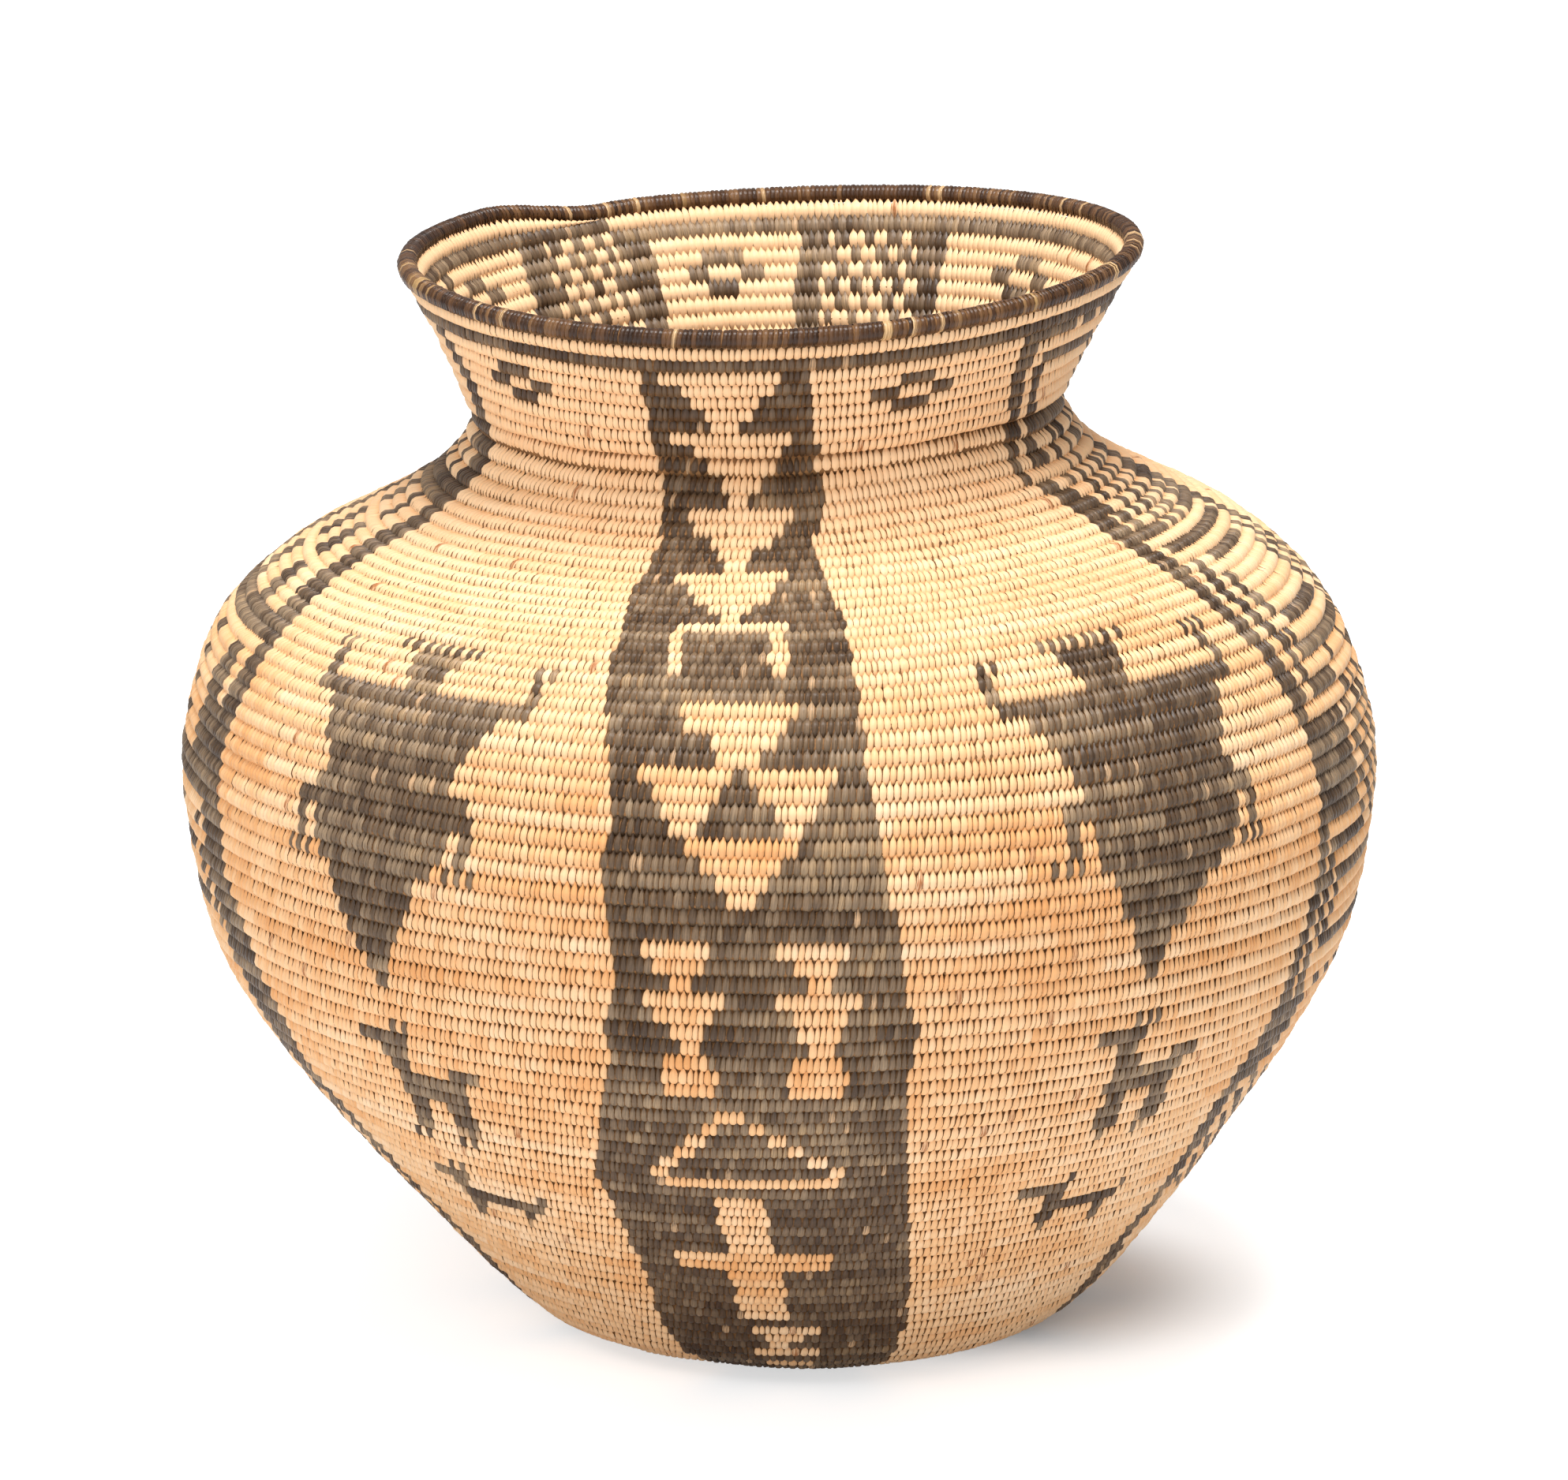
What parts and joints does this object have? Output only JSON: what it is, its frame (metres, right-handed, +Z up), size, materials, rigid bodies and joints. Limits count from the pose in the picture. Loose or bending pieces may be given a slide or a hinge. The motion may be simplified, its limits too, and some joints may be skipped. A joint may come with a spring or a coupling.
{
  "type": "coiled storage basket",
  "caption": "Coiled willow storage basket of olla form, with a wide belly, drawn-in neck, flared wrapped mouth and dark sewn figures and panels.",
  "frame": {"origin": "on the floor plane, under the middle of the belly; the base itself stands 8.7 mm to the right of it, because the real basket leans", "axes": "+Z up out of the mouth; -Y towards the pictured front; +X to the right seen from the front"},
  "size_m": [0.422, 0.4198, 0.3913],
  "materials": {
    "willow_splint": "split willow sewing splint, scraped smooth, dry satin",
    "devils_claw_splint": "split devil's claw pod sewing splint, dark brown to black, slight sheen",
    "willow_rod": "peeled willow shoots of the coil's foundation, matt"
  },
  "bodies": {
    "root": {"start_knot": "willow_splint", "base_run_1": "willow_splint", "base_run_2": "willow_splint", "foot_run": "willow_splint", "lower_wall_run_1": "willow_splint", "lower_wall_run_2": "willow_splint", "lower_wall_run_3": "willow_splint", "belly_run_1": "willow_splint", "belly_run_2": "willow_splint", "belly_run_3": "willow_splint", "belly_run_4": "willow_splint", "shoulder_run_1": "willow_splint", "shoulder_run_2": "willow_splint", "shoulder_run_3": "willow_splint", "shoulder_run_4": "willow_splint", "neck_run_1": "willow_splint", "neck_run_2": "willow_splint", "mouth_run": "willow_splint", "rim_wrapping": "devils_claw_splint", "rim_rod_1": "willow_rod", "rim_rod_2": "willow_rod", "rim_rod_3": "willow_rod"}
  },
  "joints": []
}
